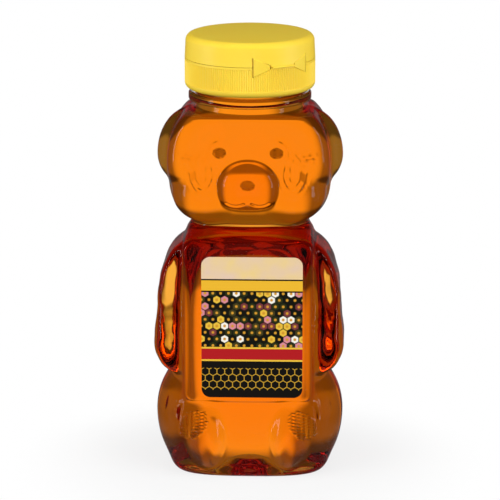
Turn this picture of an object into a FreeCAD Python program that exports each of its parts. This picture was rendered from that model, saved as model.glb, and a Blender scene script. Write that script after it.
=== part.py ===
import FreeCAD, Part
import math
import os

# Bear-shaped squeeze bottle of honey with a screw-on flip-top cap. Millimetres.
# The bottle stands on z = 0 with its neck on the Z axis and the bear looks along -Y.

# Wall and fits
WALL = 0.6                  # blown wall of the bear
FILL_GAP = 0.15             # honey to wall
SLIDE_FIT = 0.05            # faces that press on each other when the cap is tight
THREAD_FIT = 0.25           # radial play between the two threads
PARTING_GAP = 0.15          # lid rim to base shoulder
HINGE_GAP = 0.3             # open slit round each hinge web

# Torso block with the flat label panel
TORSO_HALF_WIDTH = 21.6
TORSO_TOP = 85.2
TORSO_BOTTOM = 27.8         # lower edge of the label panel
TORSO_EDGE = 3.0            # rounding of its upright edges
TORSO_SHOULDER = 3.5        # rounding over its top
TORSO_BACK = 6.0            # the block ends this far behind the axis, inside the rounded back
SHOULDER_FALL = 0.2         # the top slopes down outwards
SHOULDER_START = 18.0       # from this far out
PANEL_FRONT = 21.5          # the flat panel lies this far in front of the axis
PANEL_STOCK = 0.3           # skin that is trimmed off to make the panel truly flat
PANEL_MARGIN = 1.2          # trimmed flat ends this far inside the edge of the block
BACK_DEPTH = 25.1           # back of the bear behind the axis
BACK_RISE = 44.3            # half height of the rounded back
BACK_FLAT = 4.0             # power of its fullness
BACK_LEAN = 0.6             # share of its depth that is lost at the shoulders
BACK_BEND = 50.0            # height where it starts to lean

# Hips, thighs and feet
HIP_RADII = (27.5, 20.9, 24.0)
HIP_DOWN = 40.0             # the hips stay broad down to the standing face
HIP_HEIGHT = 21.0
HIP_BACK = 0.4
THIGH_CENTRE = (17.0, -1.0, 20.0)
THIGH_RADII = (14.65, 20.6, 19.0)
THIGH_DOWN = 22.5           # the thigh is fuller below its centre
FOOT_CENTRE = (13.4, -12.4, 15.0)
FOOT_RADII = (7.6, 12.4, 12.4)
TUCK = 0.12                 # share of the hips' depth that is lost at the standing face
TUCK_START = 22.0
HEEL = 3.0                  # rounding onto the standing face
HEEL_CUT = 0.4              # the rounding is cut off this far up, which leaves the standing face flat
PUNT_RADIUS = 11.0
PUNT_HEIGHT = 5.5

# Arms: places are measured from the side and the top of the torso block
ARM_IN = 2.1
ARM_DOWN = 25.2
ARM_FORWARD = 3.0
ARM_RADII = (11.2, 12.0, 21.0)
ARM_DEPTH = 7.0             # power of the flat front of arms and paws
PAW_OUT = 1.1
PAW_DOWN = 40.7
PAW_FORWARD = 7.0
PAW_RADII = (8.2, 9.5, 9.0)

# Head: places are measured from its centre
HEAD_RADII = (27.3, 20.7, 20.5)
HEAD_UP = 25.0              # fuller above its centre, and cut off flat under the neck
HEAD_SINK = 1.7             # head sits this far into the top of the torso
HEAD_BACK = 0.5
JAW_DEPTH = 2.2             # powers of the fullness of jaw, brow and back of the head
BROW_DEPTH = 8.0
REAR_DEPTH = 6.0
FACE_TURN = 6.0             # they change over this far
CHEEK_AT = (14.5, -10.5, -6.5)
CHEEK_RADII = (11.0, 10.5, 10.0)
NAPE_AT = (0.0, 2.0, -19.0)
NAPE_RADII = (19.0, 14.5, 7.0)
MUZZLE_RADII = (10.8, 11.0, 9.0)
MUZZLE_DOWN = 2.2
MUZZLE_FRONT = 25.0
SHELF_UP = 3.4              # front edge of the slanting top of the muzzle
SHELF_FRONT = 24.0
SHELF_TILT = 34.0
EYE_ASIDE = 9.4
EYE_UP = 8.7
EYE_OVAL = (2.3, 1.9)
FACE_RAISED = 0.3           # eyes and nose stand this proud
NOSE_UP = -1.2
NOSE_OVAL = (2.5, 1.8)
MOUTH_ASIDE = 4.2
MOUTH_DOWN = 3.6            # centre of each smile below the centre of the head
MOUTH_RADIUS = 5.0
MOUTH_SWEEP = 76.0
MOUTH_GROOVE = 0.3
EAR_AT = (20.0, 2.0, 4.0)
EAR_RADII = (11.2, 9.5, 15.6)
EAR_DOWN = 11.0             # the ear is shorter below its centre

# How softly one form runs into the next
BLEND_ARM = 3.0
BLEND_LEG = 4.0
BLEND_PAW = 9.0
BLEND_FOOT = 2.5
BLEND_NECKLINE = 2.2
BLEND_FACE = 1.6
BLEND_EAR = 2.2
BLEND_NECK = 2.0
BLEND_SHELF = 1.0
BLEND_CROWN = 2.0

# Neck finish, one start right-hand thread
NECK_RADIUS = 17.6          # under the bead
NECK_FLARE = 0.25           # the neck widens downwards
NECK_ROOT = 4.5             # and is rooted this far in the head
NECK_RISE = 2.7             # neck seen between head and bead
BEAD_RADIUS = 20.5
BEAD_THICK = 2.8
BEAD_EDGE = 0.7
FINISH_RADIUS = 17.5
FINISH_HEIGHT = 9.55
BORE_RADIUS = 15.6
BORE_LEDGE = 0.4            # the blown neck is this much wider than the bore
THREAD_PITCH = 4.233
THREAD_DEPTH = 1.2
THREAD_ROOT = 2.2
THREAD_CREST = 1.0
THREAD_TURNS = 1.1
THREAD_EMBED = 0.3
CAP_THREAD_START = 0.45     # turns up the helix where the cap's ridge starts
CAP_THREAD_TURNS = 0.95
FILL_ABOVE_BEAD = 3.0

# Seal
SEAL_RADIUS = 17.2
SEAL_THICK = 0.6

# Cap base
CAP_RADIUS = 21.75
CAP_CLEAR = 1.1             # bead to lower edge of cap
DECK_THICK = 1.2
CAP_HEEL = 2.1              # rounding of the skirt's lower edge
RIB_COUNT = 180
RIB_DEPTH = 0.28
RIB_BACKING = 0.6
RIB_MARGIN_LOW = 0.1        # from the rounded heel to the grips
RIB_MARGIN_TOP = 0.7
SPOUT_RADIUS = 5.0
SPOUT_HEIGHT = 4.0
SPOUT_TAPER = 0.8
ORIFICE_RADIUS = 2.8
SNAP_RADIUS = 19.4
SNAP_THICK = 1.0
SNAP_HEIGHT = 1.6

# Lid
LID_HEIGHT = 8.0
LID_WALL = 1.5
LID_TOP_THICK = 1.3
LID_DRAFT = 0.4
LID_EDGE = 2.3
PLUG_RADIUS = 2.45
PLUG_WALL = 0.8
PLUG_REACH = 1.5
LIP_REACH = 1.5
LIP_RADIUS = 15.0
LIP_THICK = 1.6

# Bow-tie hinge
HINGE_ANGLE = 32.0          # from the front towards the bear's left
HINGE_OFFSET = 0.35         # axis outside the wall of the cap
FILM_RADIUS = 0.3
FILM_HALF_LENGTH = 4.0
WEB_INNER = 4.6             # along the axis, where each web is narrow
WEB_OUTER = 9.9             # along the axis, where each web is tall
WEB_TIP_HALF = 0.35
WEB_HALF_HEIGHT = 3.0
WEB_THICK = 0.5
WEB_BACK = 0.15

# Label
LABEL_WIDTH = 33.7
LABEL_HEIGHT = 48.4
LABEL_THICK = 0.12
LABEL_CORNER = 3.0
LABEL_ABOVE = 1.6           # lower edge of the label above that of the panel
LABEL_ASIDE = 1.4           # stuck a little off the middle of the panel

# Fineness of the lofted skin
COLUMNS = 120
ROW_STEP = 1.3
HEEL_ROWS = (0.0, 0.3, 0.7, 1.2, 1.9, 2.8)
HALVINGS = 18               # steps in which the skin is found along a line
FIND = 0.001                # edges are picked within this

# Heights that follow
HEAD_Z = TORSO_TOP - HEAD_SINK + HEAD_RADII[2]
HEAD_TOP = HEAD_Z + HEAD_RADII[2]
BEAD_LOW = HEAD_TOP + NECK_RISE
BEAD_TOP = BEAD_LOW + BEAD_THICK
NECK_TOP = BEAD_TOP + FINISH_HEIGHT
SEAL_TOP = NECK_TOP + SEAL_THICK
DECK_LOW = SEAL_TOP + SLIDE_FIT
PARTING = DECK_LOW + DECK_THICK
CAP_LOW = BEAD_TOP + CAP_CLEAR
LID_LOW = PARTING + PARTING_GAP
LID_TOP = PARTING + LID_HEIGHT
FILL_LEVEL = BEAD_TOP + FILL_ABOVE_BEAD
SKIRT_BORE = FINISH_RADIUS + THREAD_DEPTH + THREAD_FIT
HINGE_DISTANCE = CAP_RADIUS + HINGE_OFFSET

UP = FreeCAD.Vector(0, 0, 1)
ORIGIN = FreeCAD.Vector(0, 0, 0)


def vec(x, y, z):
    return FreeCAD.Vector(x, y, z)


def drum(p, centre, radii, outline=2.0, depth=2.0):
    """Signed distance, near enough at the surface, to a swollen drum that lies along Y.

    Powers of 2 make an ellipsoid. A higher outline is squarer from the front, a higher depth has flatter faces."""
    x, y, z = [max(abs(p[i] - centre[i]) / radii[i], FIND) for i in range(3)]
    k = (x ** outline + z ** outline) ** (1.0 / outline)
    whole = (k ** depth + y ** depth) ** (1.0 / depth)
    rise = (k / whole) ** (depth - 1.0) * k ** (1.0 - outline)
    along = (y / whole) ** (depth - 1.0) / radii[1]
    across = rise * x ** (outline - 1.0) / radii[0]
    upwards = rise * z ** (outline - 1.0) / radii[2]
    return (whole - 1.0) / math.sqrt(across * across + along * along + upwards * upwards)


def ease(t):
    t = min(max(t, 0.0), 1.0)
    return t * t * (3.0 - 2.0 * t)


def blend(a, b, width):
    """Union of two signed distances with a soft seam."""
    h = max(width - abs(a - b), 0.0) / width
    return min(a, b) - h * h * width * 0.25


def torso_block(p):
    """Signed distance to the block that carries the label panel."""
    front = PANEL_FRONT + PANEL_STOCK
    across = p[0] - TORSO_HALF_WIDTH + TORSO_EDGE
    along = abs(p[1] + 0.5 * (front - TORSO_BACK)) - 0.5 * (front + TORSO_BACK) + TORSO_EDGE
    plan = math.hypot(max(across, 0.0), max(along, 0.0)) + min(max(across, along), 0.0) - TORSO_EDGE
    fall = SHOULDER_FALL * max(math.hypot(p[0], p[1]) - SHOULDER_START, 0.0)
    top = p[2] - TORSO_TOP + fall
    bottom = TORSO_BOTTOM - p[2]
    return -blend(blend(-plan, -top, TORSO_SHOULDER), -bottom, TORSO_EDGE)


def at_head(place):
    return (place[0], place[1], HEAD_Z + place[2])


def head_form(p):
    """Broad flat face on a rounded jaw, with a muzzle under a slanting shelf and an ear on each side."""
    face = JAW_DEPTH + (BROW_DEPTH - JAW_DEPTH) * ease((p[2] - HEAD_Z + FACE_TURN) / (2.0 * FACE_TURN))
    depth = face + (REAR_DEPTH - face) * ease(p[1] / FACE_TURN + 0.5)
    head_z = HEAD_UP if p[2] > HEAD_Z else HEAD_RADII[2]
    head = drum(p, (0, HEAD_BACK, HEAD_Z), (HEAD_RADII[0], HEAD_RADII[1], head_z), 3.0, depth)
    head = -blend(-head, HEAD_TOP - p[2], BLEND_CROWN)
    head = blend(head, drum(p, at_head(NAPE_AT), NAPE_RADII, 2.0, 3.0), BLEND_LEG)
    head = blend(head, drum(p, at_head(CHEEK_AT), CHEEK_RADII), BLEND_LEG)
    arch = 2.0 if p[2] > HEAD_Z - MUZZLE_DOWN else 3.0
    muzzle = drum(p, at_head((0, MUZZLE_RADII[1] - MUZZLE_FRONT, -MUZZLE_DOWN)), MUZZLE_RADII, arch, 3.0)
    tilt = math.radians(SHELF_TILT)
    shelf = (p[2] - HEAD_Z - SHELF_UP) * math.cos(tilt) - (p[1] + SHELF_FRONT) * math.sin(tilt)
    head = blend(head, -blend(-muzzle, -shelf, BLEND_SHELF), BLEND_FACE)
    ear_z = EAR_RADII[2] if p[2] > HEAD_Z + EAR_AT[2] else EAR_DOWN
    return blend(head, drum(p, at_head(EAR_AT), (EAR_RADII[0], EAR_RADII[1], ear_z)), BLEND_EAR)


def bear(x, y, z, neck_radius):
    """Signed distance to the skin of the bear; it is the same on both sides of x = 0."""
    p = (abs(x), y, z)
    back_half = 0.5 * (BACK_DEPTH + PANEL_FRONT - TORSO_EDGE)
    bend = min(max(z - BACK_BEND, 0.0) / (TORSO_TOP - BACK_BEND), 1.0)
    leaning = (p[0], y / (1.0 - BACK_LEAN * bend * bend) if y > 0.0 else y, z)
    rear = drum(leaning, (0, BACK_DEPTH - back_half, 0.5 * TORSO_TOP),
                (TORSO_HALF_WIDTH + TORSO_EDGE, back_half, BACK_RISE), 3.0, BACK_FLAT)
    d = blend(torso_block(p), rear, BLEND_ARM)
    low = max(TUCK_START - z, 0.0) / TUCK_START
    tucked = (p[0], y / (1.0 - TUCK * low * low), z)
    hip_z = HIP_RADII[2] if z > HIP_HEIGHT else HIP_DOWN
    d = blend(d, drum(tucked, (0, HIP_BACK, HIP_HEIGHT), (HIP_RADII[0], HIP_RADII[1], hip_z), 3.0, 3.0), BLEND_ARM)
    thigh_z = THIGH_RADII[2] if z > THIGH_CENTRE[2] else THIGH_DOWN
    d = blend(d, drum(tucked, THIGH_CENTRE, (THIGH_RADII[0], THIGH_RADII[1], thigh_z)), BLEND_LEG)
    d = blend(d, drum(p, FOOT_CENTRE, FOOT_RADII), BLEND_FOOT)
    arm_at = (TORSO_HALF_WIDTH - ARM_IN, -ARM_FORWARD, TORSO_TOP - ARM_DOWN)
    paw_at = (TORSO_HALF_WIDTH + PAW_OUT, -PAW_FORWARD, TORSO_TOP - PAW_DOWN)
    arm = blend(drum(p, arm_at, ARM_RADII, 2.0, ARM_DEPTH), drum(p, paw_at, PAW_RADII, 2.0, ARM_DEPTH), BLEND_PAW)
    d = blend(blend(d, arm, BLEND_ARM), head_form(p), BLEND_NECKLINE)
    neck = max(math.hypot(x, y) - neck_radius - NECK_FLARE * (BEAD_LOW - z), HEAD_TOP - NECK_ROOT - z)
    d = blend(d, neck, BLEND_NECK)
    return -blend(-d, z + HEEL_CUT, HEEL)


def skin_radius(angle, z, inset, neck_radius):
    """Distance from the axis to the skin in one direction, found by halving."""
    s, c = math.sin(angle), -math.cos(angle)
    near, far = 0.0, 2.0 * CAP_RADIUS
    for _ in range(HALVINGS):
        mid = 0.5 * (near + far)
        if bear(mid * s, mid * c, z, neck_radius) < -inset:
            near = mid
        else:
            far = mid
    return 0.5 * (near + far)


def skin(inset, play, low, top, neck_radius):
    """Solid inside the bear's skin moved inwards by inset, and by a level play, from low to top."""
    rows = [low + v for v in HEEL_ROWS]
    count = int(math.ceil((top - rows[-1]) / ROW_STEP))
    step = (top - rows[-1]) / count
    rows += [rows[-1] + step * (i + 1) for i in range(count)]
    half = COLUMNS // 2
    turns = [i / COLUMNS for i in range(COLUMNS + 1)]
    rings = []
    climb = [0.0]
    below = None
    for z in rows:
        radii = [skin_radius(2.0 * math.pi * i / COLUMNS, z, inset, neck_radius) for i in range(half + 1)]
        if below:
            spread = sum(abs(a - b) for a, b in zip(radii, below[1])) / (half + 1)
            climb.append(climb[-1] + math.hypot(z - below[0], spread))
        below = (z, radii)
        points = []
        for i in range(COLUMNS):
            angle = 2.0 * math.pi * i / COLUMNS
            r = (radii[i] if i <= half else radii[COLUMNS - i]) - play
            points.append(vec(r * math.sin(angle), -r * math.cos(angle), z))
        ring = Part.BSplineCurve()
        ring.interpolate(Points=points, PeriodicFlag=True, Parameters=turns)
        rings.append(ring)
    ribs = []
    for i in range(rings[0].NbPoles):
        rib = Part.BSplineCurve()
        rib.interpolate(Points=[ring.getPole(i + 1) for ring in rings], Parameters=climb)
        ribs.append(rib)
    surface = Part.BSplineSurface()
    surface.buildFromPolesMultsKnots(
        [rib.getPoles() for rib in ribs], rings[0].getMultiplicities(), ribs[0].getMultiplicities(),
        rings[0].getKnots(), ribs[0].getKnots(), True, False, rings[0].Degree, ribs[0].Degree)
    side = surface.toShape()
    ends = [Part.Face(Part.Wire([e])) for e in side.Edges if e.isClosed()]
    shell = Part.makeShell([side.copy()] + [end.copy() for end in ends])
    shell.sewShape()
    return Part.makeSolid(shell)


def cylinder(radius, low, top):
    return Part.makeCylinder(radius, top - low, vec(0, 0, low))


def tube(inner, outer, low, top):
    return cylinder(outer, low, top).cut(cylinder(inner, low, top))


def spun(profile):
    """Solid of revolution about Z from radius and height pairs."""
    points = [vec(r, 0, z) for r, z in profile]
    face = Part.Face(Part.makePolygon(points + [points[0]]))
    return face.revolve(ORIGIN, UP, 360)


def rounded(shape, radius, heights, size):
    """Round the circular edges of that radius at those heights."""
    edges = [e for e in shape.Edges if hasattr(e.Curve, "Radius")
             and abs(e.Curve.Radius - radius) < FIND
             and any(abs(e.Curve.Center.z - z) < FIND for z in heights)]
    return shape.makeFillet(size, edges)


def thread(root_radius, crest_radius, embed, start, turns):
    """One thread ridge, anchored in the wall by embed, that starts so many turns up the neck's helix."""
    helix = Part.makeHelix(THREAD_PITCH, turns * THREAD_PITCH, root_radius)
    profile = Part.makePolygon([
        vec(root_radius + embed, 0, -0.5 * THREAD_ROOT),
        vec(crest_radius, 0, -0.5 * THREAD_CREST),
        vec(crest_radius, 0, 0.5 * THREAD_CREST),
        vec(root_radius + embed, 0, 0.5 * THREAD_ROOT),
        vec(root_radius + embed, 0, -0.5 * THREAD_ROOT)])
    ridge = Part.Wire([helix]).makePipeShell([profile], True, True)
    ridge.rotate(ORIGIN, UP, 360.0 * start)
    ridge.translate(vec(0, 0, NECK_TOP - THREAD_ROOT + (start - THREAD_TURNS) * THREAD_PITCH))
    return ridge


def at_hinge(shape):
    """Turn a shape made at the front of the cap round to the hinge."""
    shape.rotate(ORIGIN, UP, HINGE_ANGLE)
    return shape


def hinge_prism(side, grow):
    """Upright triangle of one hinge web, drawn across the front of the cap."""
    tip, tall = WEB_TIP_HALF + grow, WEB_HALF_HEIGHT + grow
    inner, outer = side * (WEB_INNER - grow), side * (WEB_OUTER + grow)
    y = -1.5 * CAP_RADIUS
    corners = [vec(inner, y, PARTING - tip), vec(outer, y, PARTING - tall),
               vec(outer, y, PARTING + tall), vec(inner, y, PARTING + tip)]
    face = Part.Face(Part.makePolygon(corners + [corners[0]]))
    return face.extrude(vec(0, -y, 0))


def hinge_pocket():
    """Room for both webs, cut from the walls of base and lid."""
    ring = tube(CAP_RADIUS - WEB_THICK - 2.0 * WEB_BACK, 1.5 * CAP_RADIUS, CAP_LOW, LID_TOP)
    tool = hinge_prism(-1, HINGE_GAP).fuse(hinge_prism(1, HINGE_GAP))
    return at_hinge(ring.common(tool))


def skin_front(aside, up):
    """How far the face lies in front of the axis at one spot."""
    near, far = 0.0, 2.0 * MUZZLE_FRONT
    for _ in range(HALVINGS):
        mid = 0.5 * (near + far)
        if bear(aside, -mid, HEAD_Z + up, NECK_RADIUS) < 0.0:
            near = mid
        else:
            far = mid
    return near


def oval(aside, up, half):
    """Oval pad that stands up from the face."""
    skin_at = skin_front(aside, up)
    pad = Part.Face(Part.Wire([Part.Ellipse(ORIGIN, half[0], half[1]).toShape()]))
    pad.rotate(ORIGIN, vec(1, 0, 0), 90)
    pad.translate(vec(aside, WALL - skin_at, HEAD_Z + up))
    return pad.extrude(vec(0, -WALL - FACE_RAISED, 0))


def smile(side):
    """Half of the mouth: a groove that hangs in a shallow arc."""
    ring = Part.makeTorus(MOUTH_RADIUS, MOUTH_GROOVE, ORIGIN, UP, 0, 360, MOUTH_SWEEP)
    ring.rotate(ORIGIN, UP, -90.0 - 0.5 * MOUTH_SWEEP)
    ring.rotate(ORIGIN, vec(1, 0, 0), 90)
    aside = side * MOUTH_ASIDE
    skin_at = skin_front(aside, -MOUTH_DOWN - MOUTH_RADIUS)
    ring.translate(vec(aside, -skin_at, HEAD_Z - MOUTH_DOWN))
    return ring


def make_face(body):
    """Eyes and nose stand up from the skin, the mouth is sunk in it."""
    for side in (-1, 1):
        body = body.fuse(oval(side * EYE_ASIDE, EYE_UP, EYE_OVAL))
        body = body.cut(smile(side))
    return body.fuse(oval(0.0, NOSE_UP, NOSE_OVAL))


def make_bottle():
    cavity_neck = BORE_RADIUS + BORE_LEDGE + WALL
    body = skin(0.0, 0.0, 0.0, BEAD_LOW + 0.5 * BEAD_THICK, NECK_RADIUS)
    stock = 2.0 * PANEL_FRONT
    flat = Part.makeBox(2.0 * (TORSO_HALF_WIDTH - PANEL_MARGIN), stock,
                        TORSO_TOP - TORSO_BOTTOM - 2.0 * PANEL_MARGIN,
                        vec(PANEL_MARGIN - TORSO_HALF_WIDTH, -PANEL_FRONT - stock,
                            TORSO_BOTTOM + PANEL_MARGIN))
    body = make_face(body.cut(flat).cut(punt(0.0)))
    bead = spun([(BORE_RADIUS, BEAD_LOW), (BEAD_RADIUS, BEAD_LOW), (BEAD_RADIUS, BEAD_TOP),
                 (FINISH_RADIUS, BEAD_TOP), (FINISH_RADIUS, NECK_TOP), (BORE_RADIUS, NECK_TOP)])
    bead = rounded(bead, BEAD_RADIUS, (BEAD_LOW, BEAD_TOP), BEAD_EDGE)
    ridge = thread(FINISH_RADIUS, FINISH_RADIUS + THREAD_DEPTH, -THREAD_EMBED, 0.0, THREAD_TURNS)
    cavity = skin(WALL, 0.0, WALL, BEAD_LOW, cavity_neck).cut(punt(WALL))
    bore = cylinder(BORE_RADIUS, HEAD_Z, NECK_TOP)
    return body.fuse(bead).fuse(ridge).cut(cavity).cut(bore)


def punt(grow):
    """Ball that pushes the base up in the middle."""
    ball = 0.5 * (PUNT_RADIUS ** 2 + PUNT_HEIGHT ** 2) / PUNT_HEIGHT
    return Part.makeSphere(ball + grow, vec(0, 0, PUNT_HEIGHT - ball))


def make_honey():
    neck = BORE_RADIUS + BORE_LEDGE + WALL
    room = cylinder(2.0 * CAP_RADIUS, WALL + FILL_GAP, BEAD_LOW - FILL_GAP)
    pool = skin(WALL, FILL_GAP, WALL, BEAD_LOW, neck).common(room).cut(punt(WALL + FILL_GAP))
    return pool.fuse(cylinder(BORE_RADIUS - FILL_GAP, HEAD_Z, FILL_LEVEL))


def make_label():
    low = TORSO_BOTTOM + LABEL_ABOVE
    plate = Part.makeBox(LABEL_WIDTH, LABEL_THICK, LABEL_HEIGHT,
                         vec(LABEL_ASIDE - 0.5 * LABEL_WIDTH, -PANEL_FRONT - LABEL_THICK, low))
    corners = [e for e in plate.Edges
               if abs(e.tangentAt(e.FirstParameter).y) > 0.9]
    return plate.makeFillet(LABEL_CORNER, corners)


def make_seal():
    return cylinder(SEAL_RADIUS, NECK_TOP, SEAL_TOP)


def rib_band(low, top):
    """Ring of fine upright grips."""
    points = []
    for i in range(2 * RIB_COUNT):
        angle = math.pi * i / RIB_COUNT
        r = CAP_RADIUS - RIB_DEPTH * (i % 2)
        points.append(vec(r * math.sin(angle), -r * math.cos(angle), low))
    outline = Part.Face(Part.makePolygon(points + [points[0]]))
    return outline.extrude(vec(0, 0, top - low)).cut(cylinder(CAP_RADIUS - RIB_BACKING, low, top))


def make_cap_base():
    rib_low, rib_top = CAP_LOW + CAP_HEEL + RIB_MARGIN_LOW, PARTING - RIB_MARGIN_TOP
    groove = CAP_RADIUS - RIB_BACKING
    top = PARTING + SNAP_HEIGHT
    spout = PARTING + SPOUT_HEIGHT
    body = spun([(SKIRT_BORE, CAP_LOW), (CAP_RADIUS, CAP_LOW),
                 (CAP_RADIUS, rib_low), (groove, rib_low), (groove, rib_top), (CAP_RADIUS, rib_top),
                 (CAP_RADIUS, PARTING), (SNAP_RADIUS, PARTING), (SNAP_RADIUS, top),
                 (SNAP_RADIUS - SNAP_THICK, top), (SNAP_RADIUS - SNAP_THICK, PARTING),
                 (SPOUT_RADIUS, PARTING), (SPOUT_RADIUS - SPOUT_TAPER, spout),
                 (ORIFICE_RADIUS, spout), (ORIFICE_RADIUS, DECK_LOW), (SKIRT_BORE, DECK_LOW)])
    body = rounded(body, CAP_RADIUS, (CAP_LOW,), CAP_HEEL)
    ridge = thread(SKIRT_BORE, FINISH_RADIUS + THREAD_FIT, THREAD_EMBED, CAP_THREAD_START, CAP_THREAD_TURNS)
    ridge.translate(vec(0, 0, -0.5 * THREAD_PITCH))
    body = body.fuse(ridge).fuse(rib_band(rib_low, rib_top))
    return body.cut(hinge_pocket())


def make_lid():
    top_radius = CAP_RADIUS - LID_DRAFT
    shell = spun([(CAP_RADIUS, LID_LOW), (top_radius, LID_TOP), (0, LID_TOP), (0, LID_LOW)])
    shell = rounded(shell, top_radius, (LID_TOP,), LID_EDGE)
    lip = Part.makeCylinder(LIP_RADIUS, LIP_THICK,
                            vec(0, CAP_RADIUS + LIP_REACH - LIP_RADIUS, LID_LOW))
    ceiling = LID_TOP - LID_TOP_THICK
    room = cylinder(CAP_RADIUS - LID_WALL - LID_DRAFT, LID_LOW, ceiling)
    plug = tube(PLUG_RADIUS - PLUG_WALL, PLUG_RADIUS, PARTING + SPOUT_HEIGHT - PLUG_REACH,
                ceiling + 0.5 * LID_TOP_THICK)
    lid = shell.fuse(at_hinge(lip)).cut(room).cut(hinge_pocket())
    return lid.fuse(plug)


def make_web(side):
    ring = tube(CAP_RADIUS - WEB_THICK - WEB_BACK, CAP_RADIUS - WEB_BACK, CAP_LOW, LID_TOP)
    return at_hinge(ring.common(hinge_prism(side, 0.0)))


def make_film():
    film = Part.makeCylinder(FILM_RADIUS, 2.0 * FILM_HALF_LENGTH,
                             vec(-FILM_HALF_LENGTH, -HINGE_DISTANCE, PARTING), vec(1, 0, 0))
    return at_hinge(film)


pieces = {
    "bottle": make_bottle(),
    "honey": make_honey(),
    "front_label": make_label(),
    "foil_seal": make_seal(),
    "cap_base": make_cap_base(),
    "cap_lid": make_lid(),
    "hinge_film": make_film(),
    "hinge_web_left": make_web(-1),
    "hinge_web_right": make_web(1),
}
os.makedirs("parts", exist_ok=True)
for node, shape in pieces.items():
    shape.exportStep("parts/" + node + ".step")
    box = shape.BoundBox
    print(node, shape.isValid(), len(shape.Solids), len(shape.Faces), round(shape.Volume / 1000.0, 3),
          [round(v, 2) for v in (box.XMin, box.XMax, box.YMin, box.YMax, box.ZMin, box.ZMax)])
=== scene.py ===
import math

import bmesh
import bpy
import numpy as np
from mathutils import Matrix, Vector


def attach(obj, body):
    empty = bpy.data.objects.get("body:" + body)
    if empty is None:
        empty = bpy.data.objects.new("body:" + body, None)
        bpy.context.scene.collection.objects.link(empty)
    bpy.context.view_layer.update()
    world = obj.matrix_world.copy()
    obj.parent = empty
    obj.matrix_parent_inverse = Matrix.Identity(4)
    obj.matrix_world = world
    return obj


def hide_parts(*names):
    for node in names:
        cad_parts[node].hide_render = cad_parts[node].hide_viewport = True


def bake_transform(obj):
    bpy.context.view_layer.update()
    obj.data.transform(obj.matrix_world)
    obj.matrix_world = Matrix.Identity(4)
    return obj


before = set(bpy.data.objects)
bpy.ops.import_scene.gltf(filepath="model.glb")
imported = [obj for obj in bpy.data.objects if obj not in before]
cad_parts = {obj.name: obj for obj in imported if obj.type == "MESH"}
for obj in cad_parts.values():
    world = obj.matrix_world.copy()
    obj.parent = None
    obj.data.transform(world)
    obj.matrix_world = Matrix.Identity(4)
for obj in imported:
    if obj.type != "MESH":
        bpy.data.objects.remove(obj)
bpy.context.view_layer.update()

# Honey bear squeeze bottle. Sizes are in millimetres and become metres when a mesh is placed.
# The bear looks along -Y and stands on z = 0.
MM = 0.001

# Wall and fits
WALL = 0.6
FILL_GAP = 0.15

# Torso block and flat label panel
TORSO_HALF_WIDTH, TORSO_TOP, TORSO_BOTTOM = 21.6, 85.2, 27.8
TORSO_EDGE, TORSO_SHOULDER, TORSO_BACK = 3.0, 3.5, 6.0
SHOULDER_FALL, SHOULDER_START = 0.2, 18.0
PANEL_FRONT, PANEL_STOCK, PANEL_MARGIN, PANEL_CORNER = 21.5, 0.3, 1.2, 3.0
PANEL_RIB, PANEL_RIB_IN = 0.3, 0.4
BACK_DEPTH, BACK_RISE, BACK_FLAT, BACK_LEAN, BACK_BEND = 25.1, 44.3, 4.0, 0.6, 50.0

# Hips, thighs, feet and base
HIP_RADII, HIP_DOWN, HIP_HEIGHT, HIP_BACK = (27.5, 20.9, 24.0), 40.0, 21.0, 0.4
THIGH_CENTRE, THIGH_RADII, THIGH_DOWN = (17.0, -1.0, 20.0), (14.65, 20.6, 19.0), 22.5
FOOT_CENTRE, FOOT_RADII = (13.4, -12.4, 15.0), (7.6, 12.4, 12.4)
HEEL, HEEL_CUT = 3.0, 0.4
TUCK, TUCK_START = 0.12, 22.0
PUNT_RADIUS, PUNT_HEIGHT = 11.0, 5.5
PUNT_BALL = 0.5 * (PUNT_RADIUS ** 2 + PUNT_HEIGHT ** 2) / PUNT_HEIGHT
STANDING_RING = 11.2  # inner radius of the flat ring that the bottle stands on

# Arms and paws
ARM_AT, ARM_RADII = (19.5, -3.0, 60.0), (11.2, 12.0, 21.0)
PAW_AT, PAW_RADII = (22.7, -4.2, 44.5), (8.2, 12.0, 9.0)
ARM_DEPTH, PAW_DEPTH = 9.0, 6.0

# Head
HEAD_Z = 104.0
HEAD_RADII, HEAD_UP, HEAD_BACK, CROWN = (27.3, 20.7, 20.5), 25.0, 0.5, 124.5
NAPE_AT, NAPE_RADII = (2.0, 85.0), (19.0, 14.5, 7.0)
JAW_DEPTH, BROW_DEPTH, NAPE_DEPTH, FACE_TURN = 2.2, 8.0, 6.0, 6.0
CHEEK_AT, CHEEK_RADII = (14.5, -10.5, -6.5), (11.0, 10.5, 10.0)
MUZZLE_RADII, MUZZLE_DOWN, MUZZLE_FRONT = (10.8, 11.0, 9.0), 2.2, 25.0
SHELF_UP, SHELF_FRONT, SHELF_TILT, SHELF_ARCH, BLEND_SHELF = 2.4, 24.8, 49.0, 0.033, 0.4
EAR_AT, EAR_RADII, EAR_DOWN = (20.0, 2.0, 4.0), (11.2, 9.5, 15.6), 11.0
EYE_AT, EYE_OVAL = (9.4, 8.7), (2.3, 1.9)
NOSE_UP, NOSE_OVAL = -1.2, (2.5, 1.8)
MOUTH_ASIDE, MOUTH_DOWN, MOUTH_RADIUS, MOUTH_SWEEP = 4.2, 3.6, 5.0, 76.0

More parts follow.
